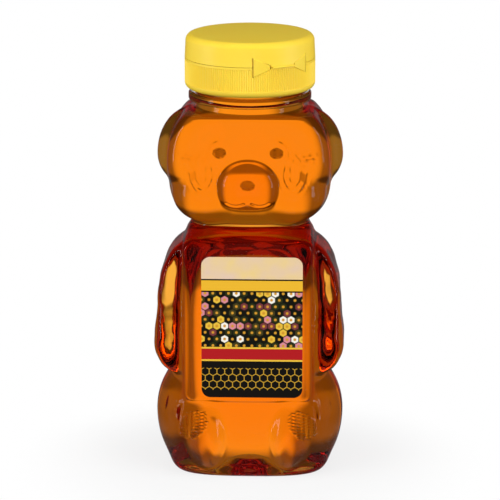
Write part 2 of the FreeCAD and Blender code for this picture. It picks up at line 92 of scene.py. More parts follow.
# Moulded relief: places, half widths, pitches and heights
BROW_RADIUS, BROW_HALF, BROW_GROOVE = 4.6, 0.9, 0.5
LOOP_AT, LOOP_NARROW, LOOP_PITCH, LOOP_RELIEF = (15.0, 1.5), 0.62, 2.6, 0.75
FUR_UP, FUR_HALF, FUR_PITCH, FUR_RELIEF = 7.0, 3.6, 2.2, 0.65
STRANDS, STRAND_AT, STRAND_STEP, STRAND_HALF, STRAND_GROOVE = 5, (22.6, 24.0), 1.15, 0.55, 0.4
CLAWS, CLAW_AT, CLAW_STEP, CLAW_HALF, CLAW_GROOVE = 3, (26.2, 41.2), 2.6, 0.6, 0.22
PEBBLE_RISE, PEBBLE_RELIEF, PEBBLE_PITCH = 0.1, 0.46, 1.3
MOUTH_HALF, MOUTH_GROOVE = 0.6, 0.5
TUFT_AT, TUFT_HALF, TUFT_SLANT = (18.4, 19.6), (5.3, 5.2), 0.35
TUFT_RISE, TUFT_RELIEF, TUFT_PITCH = 0.3, 0.34, 1.0

# How softly one form runs into the next
BLEND_ARM, BLEND_LEG, BLEND_PAW, BLEND_FOOT = 2.0, 2.2, 9.0, 1.4
BLEND_NECKLINE, BLEND_FACE, BLEND_EAR, BLEND_NECK, BLEND_CROWN = 2.2, 0.9, 1.4, 0.8, 1.0

# Neck finish
NECK_RADIUS, NECK_FLARE, NECK_ROOT, BEAD_RADIUS, BEAD_EDGE = 17.6, 0.25, 4.5, 20.5, 0.7
BEAD_LOW, BEAD_TOP, NECK_TOP = 127.2, 130.0, 139.55
FINISH_RADIUS, BORE_RADIUS, CAVITY_NECK = 17.5, 15.6, 16.6
THREAD_PITCH, THREAD_DEPTH, THREAD_ROOT, THREAD_CREST, THREAD_TURNS = 4.233, 1.2, 2.2, 1.0, 1.1
FILL_LEVEL, MENISCUS = 133.0, 0.35

# Cap hinge
CAP_RADIUS, PARTING, HINGE_ANGLE = 21.75, 141.4, math.radians(32.0)
WEB_INNER, WEB_OUTER, WEB_TIP_HALF, WEB_HALF_HEIGHT, WEB_THICK, WEB_BACK = 4.6, 9.9, 0.35, 3.0, 0.5, 0.05
WEB_CLOSE = 0.26      # the slits at the slanting edges are nearly shut

# Label
LABEL_WIDTH, LABEL_HEIGHT, LABEL_THICK, LABEL_CORNER = 33.7, 48.4, 0.12, 3.0
LABEL_LOW, LABEL_ASIDE, LABEL_GLUE = 29.4, 1.4, 0.01


# Form of the bear

def drum(p, centre, radii, outline=2.0, depth=2.0):
    """Signed distance, near enough at the surface, to a swollen drum that lies along Y.

    Powers of 2 make an ellipsoid. A higher outline is squarer from the front, and a higher depth has
    flatter faces."""
    x, y, z = [np.maximum(np.abs(p[i] - centre[i]) / radii[i], 1e-6) for i in range(3)]
    k = (x ** outline + z ** outline) ** (1.0 / outline)
    whole = (k ** depth + y ** depth) ** (1.0 / depth)
    rise = (k / whole) ** (depth - 1.0) * k ** (1.0 - outline)
    along_x = rise * x ** (outline - 1.0) / radii[0]
    along_y = (y / whole) ** (depth - 1.0) / radii[1]
    along_z = rise * z ** (outline - 1.0) / radii[2]
    return (whole - 1.0) / np.sqrt(along_x ** 2 + along_z ** 2 + along_y ** 2)


def soft_union(a, b, width):
    """Union of two signed distances with a soft seam."""
    h = np.maximum(width - np.abs(a - b), 0.0) / width
    return np.minimum(a, b) - h * h * width * 0.25


def ease(t):
    """Smooth step from 0 to 1."""
    t = np.clip(t, 0.0, 1.0)
    return t * t * (3.0 - 2.0 * t)


def torso_block(p):
    """The block that carries the label panel."""
    front = PANEL_FRONT + PANEL_STOCK
    across = p[0] - TORSO_HALF_WIDTH + TORSO_EDGE
    along = np.abs(p[1] + 0.5 * (front - TORSO_BACK)) - 0.5 * (front + TORSO_BACK) + TORSO_EDGE
    corner = np.hypot(np.maximum(across, 0.0), np.maximum(along, 0.0))
    plan = corner + np.minimum(np.maximum(across, along), 0.0) - TORSO_EDGE
    fall = SHOULDER_FALL * np.maximum(np.hypot(p[0], p[1]) - SHOULDER_START, 0.0)
    top = p[2] - TORSO_TOP + fall
    return -soft_union(soft_union(-plan, -top, TORSO_SHOULDER), p[2] - TORSO_BOTTOM, TORSO_EDGE)


def head_form(p):
    """Broad flat face on a rounded jaw, with a muzzle under a slanting shelf and an ear on each side."""
    face_depth = JAW_DEPTH + (BROW_DEPTH - JAW_DEPTH) * ease((p[2] - HEAD_Z + FACE_TURN) / (2.0 * FACE_TURN))
    depth = face_depth + (NAPE_DEPTH - face_depth) * ease(p[1] / FACE_TURN + 0.5)
    radii = (HEAD_RADII[0], HEAD_RADII[1], np.where(p[2] > HEAD_Z, HEAD_UP, HEAD_RADII[2]))
    head = drum(p, (0.0, HEAD_BACK, HEAD_Z), radii, 3.0, depth)
    head = -soft_union(-head, CROWN - p[2], BLEND_CROWN)
    head = soft_union(head, drum(p, (0.0, NAPE_AT[0], NAPE_AT[1]), NAPE_RADII, 2.0, 3.0), BLEND_LEG)
    head = soft_union(head, drum(p, (CHEEK_AT[0], CHEEK_AT[1], HEAD_Z + CHEEK_AT[2]), CHEEK_RADII), BLEND_LEG)
    arch = np.where(p[2] > HEAD_Z - MUZZLE_DOWN, 2.0, 3.0)
    muzzle = drum(p, (0.0, MUZZLE_RADII[1] - MUZZLE_FRONT, HEAD_Z - MUZZLE_DOWN), MUZZLE_RADII, arch, 3.0)
    tilt = math.radians(SHELF_TILT)
    arched = p[2] - HEAD_Z - SHELF_UP + SHELF_ARCH * p[0] ** 2
    shelf = arched * math.cos(tilt) - (p[1] + SHELF_FRONT) * math.sin(tilt)
    muzzle = -soft_union(-muzzle, -shelf, BLEND_SHELF)
    head = soft_union(head, muzzle, BLEND_FACE)
    ear_radii = (EAR_RADII[0], EAR_RADII[1], np.where(p[2] > HEAD_Z + EAR_AT[2], EAR_RADII[2], EAR_DOWN))
    return soft_union(head, drum(p, (EAR_AT[0], EAR_AT[1], HEAD_Z + EAR_AT[2]), ear_radii), BLEND_EAR)


def bear_form(x, y, z, neck_radius):
    """Signed distance to the skin of the bear, the same on both sides of x = 0."""
    p = (np.abs(x), y, z)
    back_half = 0.5 * (BACK_DEPTH + PANEL_FRONT - TORSO_EDGE)
    rear_radii = (TORSO_HALF_WIDTH + TORSO_EDGE, back_half, BACK_RISE)
    bend = TORSO_TOP - BACK_BEND
    lean = 1.0 - BACK_LEAN * (np.clip(z - BACK_BEND, 0.0, bend) / bend) ** 2
    leaning = (p[0], np.where(y > 0.0, y / lean, y), z)
    rear = drum(leaning, (0.0, BACK_DEPTH - back_half, 0.5 * TORSO_TOP), rear_radii, 3.0, BACK_FLAT)
    d = soft_union(torso_block(p), rear, BLEND_ARM)
    tuck = 1.0 - TUCK * (np.maximum(TUCK_START - z, 0.0) / TUCK_START) ** 2
    low = (p[0], y / tuck, z)
    hip_z = np.where(z > HIP_HEIGHT, HIP_RADII[2], HIP_DOWN)
    hips = drum(low, (0.0, HIP_BACK, HIP_HEIGHT), (HIP_RADII[0], HIP_RADII[1], hip_z), 3.0, 3.0)
    d = soft_union(d, hips, BLEND_ARM)
    thigh_z = np.where(z > THIGH_CENTRE[2], THIGH_RADII[2], THIGH_DOWN)
    d = soft_union(d, drum(low, THIGH_CENTRE, (THIGH_RADII[0], THIGH_RADII[1], thigh_z)), BLEND_LEG)
    d = soft_union(d, drum(p, FOOT_CENTRE, FOOT_RADII), BLEND_FOOT)
    upper_arm = drum(p, ARM_AT, ARM_RADII, 2.0, ARM_DEPTH)
    arm = soft_union(upper_arm, drum(p, PAW_AT, PAW_RADII, 2.0, PAW_DEPTH), BLEND_PAW)
    d = soft_union(soft_union(d, arm, BLEND_ARM), head_form(p), BLEND_NECKLINE)
    neck = np.maximum(np.hypot(x, y) - neck_radius - NECK_FLARE * (BEAD_LOW - z), CROWN - NECK_ROOT - z)
    d = soft_union(d, neck, BLEND_NECK)
    return -soft_union(-d, z + HEEL_CUT, HEEL)


def skin_radii(turn, heights, inset, neck_radius):
    """Distance from the axis to the skin for each height and direction, found by halving."""
    z, a = np.meshgrid(np.asarray(heights, float), turn, indexing="ij")
    near, far = np.zeros_like(z), np.full_like(z, 2.0 * CAP_RADIUS)
    for _ in range(20):
        mid = 0.5 * (near + far)
        inside = bear_form(mid * np.sin(a), -mid * np.cos(a), z, neck_radius) < -inset
        near, far = np.where(inside, mid, near), np.where(inside, far, mid)
    return 0.5 * (near + far)


def bump(d, half):
    """Rounded ridge of that half width."""
    return ease(1.0 - np.abs(d) / half)


def ripple(x, z, size):
    """Even, seedless unevenness with features of about that size."""
    k = 2.0 * math.pi / size
    return np.sin(k * (x + 0.31 * z) + 0.5 * np.sin(0.5 * k * z)) * np.sin(k * (0.9 * z - 0.27 * x) + 0.8)


def ridges(x, z, pitch):
    """Wavy rows of sharp ridges, from -1 to 1."""
    row = z + 0.22 * pitch * np.sin(2.0 * math.pi * x / (1.7 * pitch))
    return np.arcsin(np.sin(2.0 * math.pi * row / pitch)) * 2.0 / math.pi


def face_lines(x, y, z):
    """Brows, looped cheeks and combed fur of the face, in millimetres outwards."""
    up, ax = z - HEAD_Z, np.abs(x)
    brow = np.hypot(ax - EYE_AT[0], 0.9 * (up - EYE_AT[1] + 0.6))
    side = ease((ax - EYE_AT[0] + 0.5) / 2.0) * ease((up - EYE_AT[1] + 3.5) / 2.0)
    out = -BROW_GROOVE * bump(brow - BROW_RADIUS, BROW_HALF) * side
    over = up - LOOP_AT[1]
    loop = np.hypot((ax - LOOP_AT[0]) / LOOP_NARROW, np.minimum(over, 0.0)) + 0.25 * np.maximum(over, 0.0)
    fade = ease((loop - 1.6) / 1.2) * ease((9.0 - loop) / 2.5)
    fade = fade * ease((6.0 - up) / 3.0) * ease((ax - 10.4) / 1.5)
    upright = 0.2 + 0.8 * ease(np.abs(ax - LOOP_AT[0]) / (LOOP_NARROW * loop + 0.1))
    out += LOOP_RELIEF * np.sin(2.0 * math.pi * loop / LOOP_PITCH) * fade * upright
    fur = ease((ax - 13.5) / 2.0) * ease((23.0 - ax) / 2.0) * bump(up - FUR_UP, FUR_HALF)
    out += FUR_RELIEF * np.sin(2.0 * math.pi * (ax - 0.8 * np.sin(1.3 * up)) / FUR_PITCH) * fur
    return out * ease((-4.0 - y) / 4.0)


def leg_lines(x, y, z):
    """A row of combed strands on each thigh."""
    out = np.zeros_like(x)
    for i in range(STRANDS):
        strand = np.abs(x) - (STRAND_AT[0] + STRAND_STEP * i) + 0.16 * (z - STRAND_AT[1])
        out -= STRAND_GROOVE * bump(strand, STRAND_HALF) * bump(z - 24.2 - 0.3 * i, 4.6)
    return out * ease((2.0 - y) / 4.0)


def panel_line(x, y, z):
    """Narrow moulded rib round the label panel."""
    half = 0.5 * (TORSO_TOP - TORSO_BOTTOM) - PANEL_RIB_IN
    dx = np.abs(x) - (TORSO_HALF_WIDTH - PANEL_RIB_IN) + PANEL_CORNER
    dz = np.abs(z - 0.5 * (TORSO_TOP + TORSO_BOTTOM)) - half + PANEL_CORNER
    corner = np.hypot(np.maximum(dx, 0.0), np.maximum(dz, 0.0))
    away = corner + np.minimum(np.maximum(dx, dz), 0.0) - PANEL_CORNER
    return PANEL_RIB * bump(away, 0.9) * ease((-10.0 - y) / 4.0)


def arm_lines(x, y, z):
    """Slightly lumpy fur of the arms and three claws on each paw."""
    ax = np.abs(x)
    side = ease((ax - 23.0) / 3.0)
    fur = 0.16 * ripple(0.55 * y, z, 11.0) + 0.05 * ripple(y, 0.5 * z, 3.1)
    out = fur * side * ease((z - 36.0) / 4.0) * ease((80.0 - z) / 4.0)
    for i in range(CLAWS):
        claw = bump(z - CLAW_AT[1] - CLAW_STEP * i - 0.12 * (ax - 26.0), CLAW_HALF)
        out -= CLAW_GROOVE * claw * bump(ax - CLAW_AT[0], 3.2) * ease((-y - 4.0) / 3.0)
    return out


def stipple(x, z):
    """Pebbled eyes and nose, the grooves of the mouth and the ragged tuft of fur over each foot."""
    up, ax = z - HEAD_Z, np.abs(x)
    out = np.zeros_like(x)
    for aside, rise, half in ((EYE_AT[0], EYE_AT[1], EYE_OVAL), (0.0, NOSE_UP, NOSE_OVAL)):
        pad = ease((1.0 - np.hypot((ax - aside) / half[0], (up - rise) / half[1])) / 0.12)
        out += pad * (PEBBLE_RISE + PEBBLE_RELIEF * ridges(x, z, PEBBLE_PITCH))
    arc = np.degrees(np.arctan2(ax - MOUTH_ASIDE, -(up + MOUTH_DOWN)))
    mouth = bump(np.hypot(ax - MOUTH_ASIDE, up + MOUTH_DOWN) - MOUTH_RADIUS, MOUTH_HALF)
    out -= MOUTH_GROOVE * mouth * ease((0.5 * MOUTH_SWEEP + 4.0 - np.abs(arc)) / 8.0)
    hem = 0.8 * np.abs(((0.55 * ax + 0.2 * z) % 1.5) - 0.75) + 0.3 * ripple(x, z, 2.6)
    dx, dz = ax - TUFT_AT[0], z - TUFT_AT[1]
    tuft = 1.0 - np.hypot(dx / TUFT_HALF[0], (dz + TUFT_SLANT * dx) / TUFT_HALF[1]) - 0.16 * hem
    out += ease(tuft / 0.1) * (TUFT_RISE + TUFT_RELIEF * ridges(ax, z - TUFT_SLANT * ax, TUFT_PITCH))
    return out


# Zones of fine relief: distance aside, height, half width, half height and cuts of each edge
FINE_ZONES = (
    (EYE_AT[0], HEAD_Z + EYE_AT[1], 2.8, 2.4, 3),
    (0.0, HEAD_Z + NOSE_UP, 3.0, 2.3, 3),
    (MOUTH_ASIDE, HEAD_Z - MOUTH_DOWN - 4.6, 4.4, 1.4, 2),
    (TUFT_AT[0], TUFT_AT[1], 6.4, 6.4, 2))


def relief(x, y, z):
    """All moulded lines of the skin, in millimetres outwards."""
    return face_lines(x, y, z) + leg_lines(x, y, z) + arm_lines(x, y, z) + panel_line(x, y, z)


# Meshes

COLUMNS, HONEY_COLUMNS = 200, 144
FRONT_CROWD = 0.5      # columns stand closer together at the front of the bear


def turns(columns):
    """Directions of the columns round the bear, from the front."""
    even = 2.0 * math.pi * np.arange(columns) / columns
    return even - FRONT_CROWD * np.sin(even)


def spaced(stops):
    """Heights from stop to stop, each run at its own spacing."""
    out = [stops[0][0]]
    for (low, step), (top, _) in zip(stops, stops[1:]):
        count = max(1, round(abs(top - low) / step))
        out += [low + (top - low) * (i + 1) / count for i in range(count)]
    return out


def punt_height(radius, grow, floor):
    """Base pushed up in the middle, standing on a flat ring."""
    rise = np.sqrt(np.maximum((PUNT_BALL + grow) ** 2 - radius * radius, 0.0)) + PUNT_HEIGHT - PUNT_BALL
    return np.maximum(rise, floor)


def base_rings(edge, grow, floor):
    """Rings of a base, from its middle out to the given outline."""
    rings = []
    for r in (0.0, 0.8, 1.8, 2.8, 3.8, 4.8, 5.8, 6.8, 7.8, 8.8, 9.6, 10.3, 10.8, STANDING_RING):
        radius = np.full_like(edge, r)
        marks = 0.1 * math.cos(2.0 * math.pi * r / 4.0) * (r < 9.0) if grow == 0.0 else 0.0
        rings.append((radius, punt_height(radius, grow, floor) + marks))
    for share in (0.3, 0.6, 0.85, 0.96):
        rings.append((STANDING_RING + (edge - STANDING_RING) * share, np.full_like(edge, floor)))
    return rings


def round_rings(turn, profile):
    """Rings of plain turned profile points."""
    return [(np.full_like(turn, r), np.full_like(turn, z)) for r, z in profile]


def neck_thread(turn, z):
    """How far the screw thread stands out of the neck at a height."""
    start = NECK_TOP - THREAD_ROOT - THREAD_TURNS * THREAD_PITCH
    share = ((turn - 0.5 * math.pi) % (2.0 * math.pi)) / (2.0 * math.pi)
    out = np.zeros_like(turn)
    for lap in (0, 1):
        along = share + lap
        middle = start + along * THREAD_PITCH
        flank = (0.5 * THREAD_ROOT - np.abs(z - middle)) / (0.5 * (THREAD_ROOT - THREAD_CREST))
        fade = np.clip(along / 0.04, 0.0, 1.0) * np.clip((THREAD_TURNS - along) / 0.04, 0.0, 1.0)
        out = np.maximum(out, THREAD_DEPTH * np.clip(flank, 0.0, 1.0) * fade)
    return out


def ball_mesh(rings, turn):
    """Closed skin: a ball whose rings are drawn out to the rings of the piece, from pole to pole."""
    columns, last = len(turn), len(rings) - 1
    bm = bmesh.new()
    bmesh.ops.create_uvsphere(bm, u_segments=columns, v_segments=last, radius=1.0)
    row_of = {}
    for v in bm.verts:
        k = last - round(math.acos(max(-1.0, min(1.0, v.co.z))) * last / math.pi)
        j = round(math.atan2(v.co.x, -v.co.y) * columns / (2.0 * math.pi)) % columns
        row_of[v.index] = k
        radius, height = rings[k][0][j], rings[k][1][j]
        v.co = Vector((radius * math.sin(turn[j]), -radius * math.cos(turn[j]), height)) * MM
    bmesh.ops.recalc_face_normals(bm, faces=bm.faces)
    return bm, row_of


def finished(name, bm, materials, smooth=True):
    """The piece that a bmesh has become, in the scene and with its materials."""
    mesh = bpy.data.meshes.new(name)
    bm.to_mesh(mesh)
    bm.free()
    for polygon in mesh.polygons:
        polygon.use_smooth = smooth
    for material in materials:
        mesh.materials.append(material)
    piece = bpy.data.objects.new(name, mesh)
    bpy.context.scene.collection.objects.link(piece)
    return piece


# Materials

MATH, VECTOR, MIX, SPREAD = "ShaderNodeMath", "ShaderNodeVectorMath", "ShaderNodeMix", "ShaderNodeMapRange"
PET_IOR, HONEY_IOR = 1.57, 1.49

# Print of the label: bands by their lower edges, and a honeycomb of cells one wide
CELL, CELL_ROW, CELL_WALL, CELL_CORE = 2.6, math.sqrt(0.75), 0.445, 0.17
CELL_SHUFFLE = (31.0, 12.0, 0.0)
CELL_COLOURS = ((0.0, "#17180F"), (0.34, "#2C3316"), (0.58, "#F4EFE3"), (0.68, "#7A3A3C"),
                (0.74, "#D98A93"), (0.82, "#46401B"), (0.92, "#E9BE3C"))
INK, GOLD, OCHRE, RED, JET, SUN = "#15120F", "#EFC23A", "#C79A2C", "#B5151B", "#0F0E0C", "#F0BA2C"


def linear(hex_colour):
    """sRGB hex to the linear colour that sockets take."""
    parts = [int(hex_colour[i:i + 2], 16) / 255.0 for i in (1, 3, 5)]
    return tuple(c / 12.92 if c <= 0.04045 else ((c + 0.055) / 1.055) ** 2.4 for c in parts) + (1.0,)


def add(tree, kind, inputs=None, **settings):
    """One node with its settings, values and links."""
    node = tree.nodes.new(kind)
    for key, value in settings.items():
        setattr(node, key, value)
    for key, value in (inputs or {}).items():
        if isinstance(value, bpy.types.NodeSocket):
            tree.links.new(value, node.inputs[key])
        else:
            node.inputs[key].default_value = value
    return node


def new_material(name):
    """An empty node material and its tree."""
    material = bpy.data.materials.new(name)
    material.use_nodes = True
    material.node_tree.nodes.clear()
    return material, material.node_tree


def per_mm(size):
    """Texture scale for features of a real size in millimetres."""
    return 1.0 / (size * MM)


def pet_material(name, ior):
    """Clear blow-moulded PET: glossy, colourless, faintly wavy from the mould."""
    material, tree = new_material(name)
    place = add(tree, "ShaderNodeTexCoord").outputs["Object"]
    wave = add(tree, "ShaderNodeTexNoise", {"Vector": place, "Scale": per_mm(7.0), "Detail": 1.0})
    level = add(tree, "ShaderNodeBump", {
        "Height": wave.outputs["Fac"], "Strength": 0.25, "Distance": 0.2 * MM})
    shader = add(tree, "ShaderNodeBsdfPrincipled", {
        "Base Color": linear("#FFFFFF"), "Roughness": 0.02, "IOR": ior, "Transmission Weight": 1.0,
        "Specular Tint": linear("#A0A0A0"), "Normal": level.outputs["Normal"]})
    add(tree, "ShaderNodeOutputMaterial", {"Surface": shader.outputs["BSDF"]})
    return material


def honey_material(name, ior):
    """Clear honey: pale gold where it is thin, deep orange where light has a long way through it."""
    material, tree = new_material(name)
    shader = add(tree, "ShaderNodeBsdfPrincipled", {
        "Base Color": linear("#FFFFFF"), "Roughness": 0.0, "IOR": ior, "Transmission Weight": 1.0})
    depth = add(tree, "ShaderNodeVolumeAbsorption", {"Color": linear("#FFDE00"), "Density": 134.0})
    add(tree, "ShaderNodeOutputMaterial", {
        "Surface": shader.outputs["BSDF"], "Volume": depth.outputs["Volume"]})
    return material


def cap_material():
    """Moulded yellow polypropylene: satin, slightly waxy, a very fine grain."""
    material, tree = new_material("yellow_polypropylene")
    place = add(tree, "ShaderNodeTexCoord").outputs["Object"]
    cloud = add(tree, "ShaderNodeTexNoise", {"Vector": place, "Scale": per_mm(9.0), "Detail": 2.0})
    tint = add(tree, MIX, {
        "Factor": cloud.outputs["Fac"], "A": linear("#FFD83C"), "B": linear("#FFDE48")}, data_type="RGBA")
    grain = add(tree, "ShaderNodeTexNoise", {"Vector": place, "Scale": per_mm(0.5), "Detail": 2.0})
    gloss = add(tree, SPREAD, {"Value": grain.outputs["Fac"], "To Min": 0.34, "To Max": 0.46})
    level = add(tree, "ShaderNodeBump", {
        "Height": grain.outputs["Fac"], "Strength": 0.12, "Distance": 0.05 * MM})
    shader = add(tree, "ShaderNodeBsdfPrincipled", {
        "Base Color": tint.outputs["Result"], "Roughness": gloss.outputs["Result"], "IOR": 1.49,
        "Normal": level.outputs["Normal"], "Subsurface Weight": 0.12,
        "Subsurface Radius": (1.0, 0.6, 0.15), "Subsurface Scale": 0.8 * MM})
    add(tree, "ShaderNodeOutputMaterial", {"Surface": shader.outputs["BSDF"]})
    return material


def foil_material():
    """Aluminium foil over foam: bright metal with shallow creases."""
    material, tree = new_material("aluminium_foil")
    place = add(tree, "ShaderNodeTexCoord").outputs["Object"]
    crease = add(tree, "ShaderNodeTexVoronoi", {"Vector": place, "Scale": per_mm(3.0)},
                 feature="DISTANCE_TO_EDGE")
    level = add(tree, "ShaderNodeBump", {
        "Height": crease.outputs["Distance"], "Strength": 0.3, "Distance": 0.1 * MM})
    shader = add(tree, "ShaderNodeBsdfPrincipled", {
        "Base Color": linear("#D9DADB"), "Metallic": 1.0, "Roughness": 0.28,
        "Normal": level.outputs["Normal"]})
    add(tree, "ShaderNodeOutputMaterial", {"Surface": shader.outputs["BSDF"]})
    return material


def plain_paper():
    """White back of the label with its dried glue."""
    material, tree = new_material("label_paper_back")
    place = add(tree, "ShaderNodeTexCoord").outputs["Object"]
    fibre = add(tree, "ShaderNodeTexNoise", {"Vector": place, "Scale": per_mm(0.8), "Detail": 3.0})
    tint = add(tree, MIX, {
        "Factor": fibre.outputs["Fac"], "A": linear("#E9E4DA"), "B": linear("#F4F1EA")}, data_type="RGBA")
    shader = add(tree, "ShaderNodeBsdfPrincipled", {"Base Color": tint.outputs["Result"], "Roughness": 0.7})
    add(tree, "ShaderNodeOutputMaterial", {"Surface": shader.outputs["BSDF"]})
    return material


def label_print():
    """Gloss paper printed with a honeycomb of plain cells between bands of flat colour."""
    material, tree = new_material("printed_gloss_paper")
    place = add(tree, "ShaderNodeTexCoord").outputs["Object"]
    corner = (LABEL_ASIDE * MM, 0.0, LABEL_LOW * MM)
    local = add(tree, VECTOR, {0: place, 1: corner}, operation="SUBTRACT").outputs["Vector"]
    in_mm = add(tree, VECTOR, {0: local, "Scale": per_mm(1.0)}, operation="SCALE").outputs["Vector"]
    axes = add(tree, "ShaderNodeSeparateXYZ", {"Vector": in_mm}).outputs
    height = axes["Z"]
    flat = add(tree, "ShaderNodeCombineXYZ", {"X": axes["X"], "Y": height}).outputs["Vector"]

    # Each point takes the nearer centre of two offset lattices of cells
    half, back = (0.5, CELL_ROW, 1.0), (-0.5, -CELL_ROW, -1.0)
    grid = add(tree, VECTOR, {0: flat, 1: (CELL, CELL, 1.0)}, operation="DIVIDE").outputs["Vector"]
    first = add(tree, VECTOR, {0: grid, 1: half, 2: back}, operation="WRAP").outputs["Vector"]
    moved = add(tree, VECTOR, {0: grid, 1: (0.5, CELL_ROW, 0.0)}, operation="SUBTRACT").outputs["Vector"]
    second = add(tree, VECTOR, {0: moved, 1: half, 2: back}, operation="WRAP").outputs["Vector"]
    to_first = add(tree, VECTOR, {0: first, 1: first}, operation="DOT_PRODUCT").outputs["Value"]
    to_second = add(tree, VECTOR, {0: second, 1: second}, operation="DOT_PRODUCT").outputs["Value"]
    nearer = add(tree, MATH, {0: to_first, 1: to_second}, operation="LESS_THAN").outputs["Value"]
    inside = add(tree, MIX, {"Factor": nearer, "A": second, "B": first}, data_type="VECTOR").outputs["Result"]

    # A chance colour for each cell, with a dark wall and a gold core
    centre = add(tree, VECTOR, {0: grid, 1: inside}, operation="SUBTRACT").outputs["Vector"]
    steps = add(tree, VECTOR, {0: centre, 1: half}, operation="DIVIDE").outputs["Vector"]
    rounded = add(tree, VECTOR, {0: steps, 1: (0.5, 0.5, 0.5)}, operation="ADD").outputs["Vector"]
    whole = add(tree, VECTOR, {0: rounded}, operation="FLOOR").outputs["Vector"]
    shuffled = add(tree, VECTOR, {0: whole, 1: CELL_SHUFFLE}, operation="ADD").outputs["Vector"]
    chance = add(tree, "ShaderNodeTexWhiteNoise", {"Vector": shuffled}, noise_dimensions="2D")
    cells = add(tree, "ShaderNodeValToRGB", {"Fac": chance.outputs["Value"]})
    ramp = cells.color_ramp
    ramp.interpolation = "CONSTANT"
    for stop, colour in CELL_COLOURS:
        item = ramp.elements.new(stop) if stop > 0.0 else ramp.elements[0]
        item.color = linear(colour)
    ramp.elements.remove(ramp.elements[-1])
    size = add(tree, VECTOR, {0: inside}, operation="ABSOLUTE").outputs["Vector"]
    reach = add(tree, "ShaderNodeSeparateXYZ", {"Vector": size}).outputs
    slant_x = add(tree, MATH, {0: reach["X"], 1: 0.5}, operation="MULTIPLY").outputs["Value"]
    slant_y = add(tree, MATH, {0: reach["Y"], 1: CELL_ROW}, operation="MULTIPLY").outputs["Value"]
    slant = add(tree, MATH, {0: slant_x, 1: slant_y}, operation="ADD").outputs["Value"]
    edge = add(tree, MATH, {0: reach["X"], 1: slant}, operation="MAXIMUM").outputs["Value"]
    wall = add(tree, MATH, {0: edge, 1: CELL_WALL}, operation="GREATER_THAN").outputs["Value"]
    core = add(tree, MATH, {0: edge, 1: CELL_CORE}, operation="LESS_THAN").outputs["Value"]
    cored = add(tree, MIX, {
        "Factor": core, "A": cells.outputs["Color"], "B": linear("#D79A2B")}, data_type="RGBA")
    comb = add(tree, MIX, {
        "Factor": wall, "A": cored.outputs["Result"], "B": linear("#0E0D0A")}, data_type="RGBA")
    tracery = add(tree, MIX, {"Factor": wall, "A": linear(INK), "B": linear(OCHRE)}, data_type="RGBA")

    # A pale cloudy band at the top
    dusk = add(tree, "ShaderNodeTexNoise", {"Vector": flat, "Scale": 0.11, "Detail": 2.0}).outputs["Fac"]
    above_low = add(tree, MATH, {0: dusk, 1: 0.3}, operation="SUBTRACT").outputs["Value"]
    cloud = add(tree, MATH, {0: above_low, 1: 2.2}, operation="MULTIPLY").outputs["Value"]
    glow = add(tree, MIX, {
        "Factor": cloud, "A": linear("#E6C9B4"), "B": linear("#F2D478")}, data_type="RGBA")

    # Bands of flat colour, from the lower edge up
    face = linear(INK)
    for low, colour in (
            (2.6, tracery.outputs["Result"]), (10.2, linear(INK)), (12.6, linear(GOLD)), (13.2, linear(RED)),
            (16.9, linear(GOLD)), (17.5, comb.outputs["Result"]), (36.4, linear(JET)), (36.9, linear(SUN)),
            (40.4, linear(INK)), (40.9, glow.outputs["Result"])):
        above = add(tree, MATH, {0: height, 1: low}, operation="GREATER_THAN").outputs["Value"]
        face = add(tree, MIX, {"Factor": above, "A": face, "B": colour}, data_type="RGBA").outputs["Result"]
    shader = add(tree, "ShaderNodeBsdfPrincipled", {
        "Base Color": face, "Roughness": 0.36, "IOR": 1.45, "Specular IOR Level": 0.25})
    add(tree, "ShaderNodeOutputMaterial", {"Surface": shader.outputs["BSDF"]})
    return material


pet = pet_material("clear_blown_pet", PET_IOR)
wet_pet = pet_material("pet_wall_wetted_by_honey", PET_IOR / HONEY_IOR)
honey_in_wall = honey_material("honey_against_the_wall", 1.0)
honey_surface = honey_material("honey_free_surface", HONEY_IOR)
yellow = cap_material()


# Bottle

def in_zone(face, zone):
    """Whether a face of the outer skin lies in a zone of fine relief on the front."""
    aside, height, half_width, half_height = zone[:4]
    return face.material_index == 0 and all(
        abs(abs(v.co.x) / MM - aside) < half_width
        and abs(v.co.z / MM - height) < half_height
        and v.co.y < 0.0
        for v in face.verts)


def add_stipple(bm):
    """Divides the skin more finely where it carries fine relief, and raises that relief."""
    for zone in FINE_ZONES:
        edges = list({e for f in bm.faces if in_zone(f, zone) for e in f.edges})
        bmesh.ops.subdivide_edges(bm, edges=edges, cuts=zone[4], use_grid_fill=True)
    bm.normal_update()
    fine = list({v for zone in FINE_ZONES for f in bm.faces if in_zone(f, zone) for v in f.verts})
    places = np.array([v.co for v in fine]) / MM
    for v, rise in zip(fine, stipple(places[:, 0], places[:, 2])):
        v.co += v.normal * float(rise) * MM


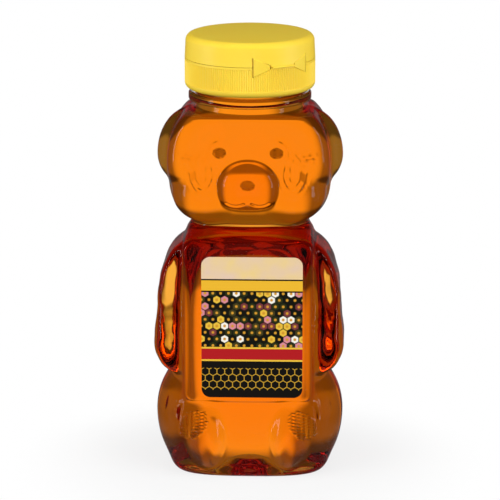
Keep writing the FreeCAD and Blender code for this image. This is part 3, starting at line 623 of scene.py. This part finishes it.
def make_bottle():
    """Blown skin and neck finish outside, and the cavity inside, in one closed mesh."""
    turn = turns(COLUMNS)
    rows = spaced([(0.0, 0.3), (1.2, 0.5), (30.0, 1.1), (83.0, 0.5), (98.0, 0.3), (117.0, 0.4),
                   (BEAD_LOW, 0.4)])
    outer = skin_radii(turn, rows, 0.0, NECK_RADIUS)
    z, a = np.meshgrid(np.asarray(rows), turn, indexing="ij")
    outer = outer + relief(outer * np.sin(a), -outer * np.cos(a), z)
    x = outer * np.sin(a)
    panel_mid = 0.5 * (TORSO_TOP + TORSO_BOTTOM)
    panel_half = 0.5 * (TORSO_TOP - TORSO_BOTTOM) - PANEL_MARGIN
    dx = np.maximum(np.abs(x) - (TORSO_HALF_WIDTH - PANEL_MARGIN) + PANEL_CORNER, 0.0)
    dz = np.maximum(np.abs(z - panel_mid) - panel_half + PANEL_CORNER, 0.0)
    on_panel = (np.hypot(dx, dz) < PANEL_CORNER) & (np.cos(a) > 0.3)
    outer = np.where(on_panel, np.minimum(outer, PANEL_FRONT / np.maximum(np.cos(a), 0.3)), outer)
    rings = base_rings(outer[0], 0.0, 0.0) + [(outer[i], z[i]) for i in range(len(rows))]
    e = BEAD_EDGE
    arc = [(e * math.sin(t), e * (1.0 - math.cos(t))) for t in np.linspace(0.0, 0.5 * math.pi, 5)]
    rings += round_rings(turn, [(NECK_RADIUS + 0.15, BEAD_LOW), (NECK_RADIUS + 0.8, BEAD_LOW)])
    rings += round_rings(turn, [(BEAD_RADIUS - e + s, BEAD_LOW + c) for s, c in arc])
    rings += round_rings(turn, [(BEAD_RADIUS - e + s, BEAD_TOP - c) for s, c in reversed(arc)])
    rings += round_rings(turn, [(FINISH_RADIUS + 1.0, BEAD_TOP), (FINISH_RADIUS + 0.1, BEAD_TOP)])
    for height in spaced([(BEAD_TOP + 0.1, 0.34), (NECK_TOP - 0.15, 0.34)]):
        rings.append((FINISH_RADIUS + neck_thread(turn, height), np.full_like(turn, height)))
    rings += round_rings(turn, [(FINISH_RADIUS - 0.15, NECK_TOP), (BORE_RADIUS + 0.15, NECK_TOP)])
    rim = len(rings)
    rings += round_rings(turn, [(BORE_RADIUS, h) for h in
                                (NECK_TOP - 0.15, 137.0, 135.0, FILL_LEVEL, 131.0, 129.0, BEAD_LOW + 0.1)])
    rings += round_rings(turn, [(BORE_RADIUS + 0.1, BEAD_LOW), (CAVITY_NECK - WALL - 0.1, BEAD_LOW)])
    rows = spaced([(BEAD_LOW - 0.1, 0.9), (118.0, 1.7), (84.0, 2.2), (30.0, 1.7), (2.0, 0.7), (WALL, 0.7)])
    inner = skin_radii(turn, rows, WALL, CAVITY_NECK)
    rings += [(inner[i], np.full_like(turn, rows[i])) for i in range(len(rows))]
    rings += reversed(base_rings(inner[-1], WALL, WALL))
    bm, row_of = ball_mesh(rings, turn)
    for face in bm.faces:
        wet = all(row_of[v.index] >= rim and v.co.z < (FILL_LEVEL + 0.1) * MM for v in face.verts)
        face.material_index = 1 if wet else 0
    add_stipple(bm)
    return finished("bear_bottle", bm, [pet, wet_pet])


def make_honey():
    """The fill, a hair inside the wall, with a free surface that climbs a little at the neck."""
    turn = turns(HONEY_COLUMNS)
    low, top = WALL + FILL_GAP, BEAD_LOW - FILL_GAP
    rows = spaced([(low, 0.5), (2.5, 1.1), (30.0, 1.5), (82.0, 1.0), (top, 1.0)])
    side = skin_radii(turn, rows, WALL, CAVITY_NECK) - FILL_GAP
    rings = base_rings(side[0], WALL + FILL_GAP, low)
    rings += [(side[i], np.full_like(turn, rows[i])) for i in range(len(rows))]
    neck = BORE_RADIUS - FILL_GAP
    rings += round_rings(turn, [(neck + 0.1, top), (neck, top + 0.1)])
    rings += round_rings(turn, [(neck, 129.0), (neck, 131.0), (neck, FILL_LEVEL)])
    surface = len(rings) - 1
    for inward in (0.3, 0.8, 1.6, 3.0, 6.0, 10.0):
        sunk = MENISCUS * (1.0 - math.exp(-inward))
        rings += round_rings(turn, [(neck - inward, FILL_LEVEL - sunk)])
    rings += round_rings(turn, [(0.0, FILL_LEVEL - MENISCUS)])
    bm, row_of = ball_mesh(rings, turn)
    for face in bm.faces:
        face.material_index = 1 if all(row_of[v.index] >= surface for v in face.verts) else 0
    return finished("honey_fill", bm, [honey_in_wall, honey_surface])


def make_label():
    """Thin card with round corners on the flat panel, printed on its front."""
    bm = bmesh.new()
    bmesh.ops.create_cube(bm, size=1.0)
    size = (LABEL_WIDTH, LABEL_THICK - LABEL_GLUE, LABEL_HEIGHT)
    bmesh.ops.scale(bm, vec=Vector(size) * MM, verts=bm.verts)
    middle = (LABEL_ASIDE, -PANEL_FRONT - 0.5 * (LABEL_THICK + LABEL_GLUE), LABEL_LOW + 0.5 * LABEL_HEIGHT)
    bmesh.ops.translate(bm, vec=Vector(middle) * MM, verts=bm.verts)
    corners = [e for e in bm.edges if abs((e.verts[0].co - e.verts[1].co).normalized().y) > 0.9]
    bmesh.ops.bevel(bm, geom=corners, offset=LABEL_CORNER * MM, segments=10, profile=0.5,
                    affect="EDGES", material=-1)
    for face in bm.faces:
        face.material_index = 0 if face.normal.y < -0.5 else 1
    return finished("printed_label", bm, [label_print(), plain_paper()], smooth=False)


def make_web(name, side):
    """Thin triangular spring web of the hinge, curved with the wall of the cap."""
    bm = bmesh.new()
    bmesh.ops.create_grid(bm, x_segments=10, y_segments=12, size=0.5)
    for v in bm.verts:
        share = v.co.x + 0.5
        along = WEB_INNER + (WEB_OUTER - WEB_INNER + WEB_CLOSE * (side > 0)) * share
        tall = WEB_TIP_HALF + WEB_CLOSE + (WEB_HALF_HEIGHT - WEB_TIP_HALF) * share
        around = HINGE_ANGLE + math.asin(side * along / CAP_RADIUS)
        radius = CAP_RADIUS - WEB_BACK
        height = PARTING + 2.0 * tall * v.co.y
        v.co = Vector((radius * math.sin(around), -radius * math.cos(around), height)) * MM
    bmesh.ops.recalc_face_normals(bm, faces=bm.faces)
    if sum(f.normal.xy.dot(f.calc_center_median().xy) for f in bm.faces) < 0.0:
        bmesh.ops.reverse_faces(bm, faces=bm.faces)
    bmesh.ops.solidify(bm, geom=bm.faces, thickness=WEB_THICK * MM)
    bmesh.ops.recalc_face_normals(bm, faces=bm.faces)
    return finished(name, bm, [yellow])


CRISP_ANGLE = 28.0     # degrees between faces past which an edge of a turned part stays crisp


def smooth_cad(piece):
    """Merges the loose triangles of a turned part and shades its round faces smoothly, with crisp edges."""
    group = bpy.data.node_groups.get("smooth_round_faces")
    if group is None:
        group = bpy.data.node_groups.new("smooth_round_faces", "GeometryNodeTree")
        group.interface.new_socket("Geometry", in_out="INPUT", socket_type="NodeSocketGeometry")
        group.interface.new_socket("Geometry", in_out="OUTPUT", socket_type="NodeSocketGeometry")
        start = add(group, "NodeGroupInput")
        merge = add(group, "GeometryNodeMergeByDistance", {
            "Geometry": start.outputs[0], "Distance": 0.001 * MM})
        angle = add(group, "GeometryNodeInputMeshEdgeAngle")
        sharp = add(group, "FunctionNodeCompare", {
            "A": angle.outputs["Unsigned Angle"], "B": math.radians(CRISP_ANGLE)},
            operation="GREATER_THAN", data_type="FLOAT")
        soft = add(group, "GeometryNodeSetShadeSmooth", {"Geometry": merge.outputs["Geometry"]},
                   domain="FACE")
        crisp = add(group, "GeometryNodeSetShadeSmooth", {
            "Geometry": soft.outputs["Geometry"], "Selection": sharp.outputs["Result"],
            "Shade Smooth": False}, domain="EDGE")
        add(group, "NodeGroupOutput", {0: crisp.outputs["Geometry"]})
    piece.modifiers.new("smooth_round_faces", "NODES").node_group = group


bottle = make_bottle()
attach(bottle, "bottle")
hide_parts("bottle")

honey = make_honey()
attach(honey, "bottle")
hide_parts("honey")

label = make_label()
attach(label, "bottle")
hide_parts("front_label")

for name, side, node in (
        ("spring_web_left", -1, "hinge_web_left"), ("spring_web_right", 1, "hinge_web_right")):
    web = make_web(name, side)
    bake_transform(web)
    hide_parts(node)

for node, material in (
        ("cap_base", yellow), ("cap_lid", yellow), ("hinge_film", yellow), ("foil_seal", foil_material())):
    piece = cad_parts[node]
    for slot in piece.material_slots:
        slot.material = material
    smooth_cad(piece)


# Studio, in metres

FLOOR_RADIUS, SHADOW_NEAR, SHADOW_FAR = 0.3, 0.035, 0.085
WINDOWS = 4.0         # bright panels of the backdrop: behind, in front and on both sides
BETWEEN_LEVEL, GROUND_LEVEL, CEILING_LEVEL, MIRROR_LEVEL = 0.3, 0.34, 0.26, 0.15


def make_floor():
    """Round white floor that fades out, so that only the shadow near the bottle shows on it."""
    bm = bmesh.new()
    bmesh.ops.create_circle(bm, cap_ends=True, segments=64, radius=FLOOR_RADIUS)
    floor = finished("floor", bm, [], smooth=False)
    material, tree = new_material("white_studio_floor")
    place = add(tree, "ShaderNodeTexCoord").outputs["Object"]
    away = add(tree, VECTOR, {0: place}, operation="LENGTH")
    fade = add(tree, SPREAD, {
        "Value": away.outputs["Value"], "From Min": SHADOW_NEAR, "From Max": SHADOW_FAR,
        "To Min": 0.0, "To Max": 1.0}, interpolation_type="SMOOTHSTEP")
    faint = add(tree, SPREAD, {"Value": fade.outputs["Result"], "To Min": 0.78, "To Max": 1.0})
    paint = add(tree, "ShaderNodeBsdfDiffuse", {"Color": linear("#F4F4F4")})
    clear = add(tree, "ShaderNodeBsdfTransparent")
    both = add(tree, "ShaderNodeMixShader", {
        0: faint.outputs["Result"], 1: paint.outputs["BSDF"], 2: clear.outputs["BSDF"]})
    add(tree, "ShaderNodeOutputMaterial", {"Surface": both.outputs["Shader"]})
    floor.data.materials.append(material)


def make_world():
    """White backdrop round the horizon with four bright windows, a dimmer ceiling and a dark ground.

    The camera sees plain white, and mirrored light is held low so that the wall stays clear."""
    world = bpy.data.worlds.new("white_studio")
    bpy.context.scene.world = world
    world.use_nodes = True
    tree = world.node_tree
    tree.nodes.clear()
    heading = add(tree, "ShaderNodeTexCoord").outputs["Generated"]
    axes = add(tree, "ShaderNodeSeparateXYZ", {"Vector": heading}).outputs
    about = add(tree, MATH, {0: axes["X"], 1: axes["Y"]}, operation="ARCTAN2").outputs["Value"]
    often = add(tree, MATH, {0: about, 1: WINDOWS}, operation="MULTIPLY").outputs["Value"]
    wave = add(tree, MATH, {0: often}, operation="COSINE").outputs["Value"]
    panels = add(tree, SPREAD, {
        "Value": wave, "From Min": -0.1, "From Max": 0.75, "To Min": BETWEEN_LEVEL, "To Max": 1.0},
        interpolation_type="SMOOTHSTEP").outputs["Result"]
    ground = add(tree, SPREAD, {
        "Value": axes["Z"], "From Min": -0.46, "From Max": -0.39, "To Min": GROUND_LEVEL, "To Max": 1.0},
        interpolation_type="SMOOTHSTEP").outputs["Result"]
    ceiling = add(tree, SPREAD, {
        "Value": axes["Z"], "From Min": 0.02, "From Max": 0.19, "To Min": 1.0, "To Max": CEILING_LEVEL},
        interpolation_type="SMOOTHSTEP").outputs["Result"]
    band = add(tree, MATH, {0: ground, 1: ceiling}, operation="MULTIPLY").outputs["Value"]
    room = add(tree, MATH, {0: band, 1: panels}, operation="MULTIPLY").outputs["Value"]
    path = add(tree, "ShaderNodeLightPath").outputs
    glossy = add(tree, MATH, {0: path["Is Reflection Ray"], 1: path["Is Diffuse Ray"]}, operation="SUBTRACT")
    mirror = add(tree, SPREAD, {
        "Value": glossy.outputs["Value"], "To Min": 1.0, "To Max": MIRROR_LEVEL}).outputs["Result"]
    seen = add(tree, MATH, {0: room, 1: mirror}, operation="MULTIPLY").outputs["Value"]
    level = add(tree, MIX, {"Factor": path["Is Camera Ray"], "A": seen, "B": 1.0}, data_type="FLOAT")
    white = add(tree, "ShaderNodeBackground", {
        "Color": linear("#FFFFFF"), "Strength": level.outputs["Result"]})
    add(tree, "ShaderNodeOutputWorld", {"Surface": white.outputs["Background"]})


def add_softbox(name, azimuth, elevation, distance, size, watts, shiny):
    """Area lamp that faces the bottle. Only a shiny one is mirrored in it and seen through it."""
    lamp = bpy.data.lights.new(name, "AREA")
    lamp.shape, lamp.size, lamp.size_y, lamp.energy = "RECTANGLE", size[0], size[1], watts
    holder = bpy.data.objects.new(name, lamp)
    a, e = math.radians(azimuth), math.radians(elevation)
    back = Vector((math.sin(a) * math.cos(e), -math.cos(a) * math.cos(e), math.sin(e)))
    holder.location = aim + back * distance
    holder.rotation_euler = back.to_track_quat("Z", "Y").to_euler()
    holder.visible_camera = False
    holder.visible_glossy = shiny
    holder.visible_transmission = shiny
    bpy.context.scene.collection.objects.link(holder)


AIM_HEIGHT = 74.92
aim = Vector((0.0, 0.0, AIM_HEIGHT * MM))
make_floor()
make_world()
for softbox in (
        ("front_light_left", -50.0, 25.0, 1.4, (0.8, 0.9), 11.5, False),
        ("front_light_right", 50.0, 25.0, 1.4, (0.8, 0.9), 11.5, False),
        ("overhead", 0.0, 75.0, 1.3, (0.9, 0.9), 3.0, False),
        ("side_strip_left", -75.0, 10.0, 1.3, (0.25, 1.0), 2.5, True),
        ("side_strip_right", 75.0, 10.0, 1.3, (0.25, 1.0), 2.5, True)):
    add_softbox(*softbox)

# Camera: a long lens, a little above the bear and a little to its left
CAMERA_DISTANCE, CAMERA_AZIMUTH, CAMERA_ELEVATION = 1.05, math.radians(2.0), math.radians(14.0)
CAMERA_SENSOR, CAMERA_LENS = 36.0, 223.7
camera = bpy.data.objects.new("camera", bpy.data.cameras.new("camera"))
bpy.context.scene.collection.objects.link(camera)
camera.data.sensor_width, camera.data.lens = CAMERA_SENSOR, CAMERA_LENS
camera.data.clip_start, camera.data.clip_end = 0.01, 20.0
camera_out = CAMERA_DISTANCE * math.cos(CAMERA_ELEVATION)
camera_up = CAMERA_DISTANCE * math.sin(CAMERA_ELEVATION)
camera.location = aim + Vector((
    camera_out * math.sin(CAMERA_AZIMUTH), -camera_out * math.cos(CAMERA_AZIMUTH), camera_up))
camera.rotation_euler = (camera.location - aim).to_track_quat("Z", "Y").to_euler()
scene = bpy.context.scene
scene.camera = camera
scene.view_settings.view_transform = "Standard"
scene.cycles.max_bounces = 32
scene.cycles.transmission_bounces = 32
scene.cycles.transparent_max_bounces = 16
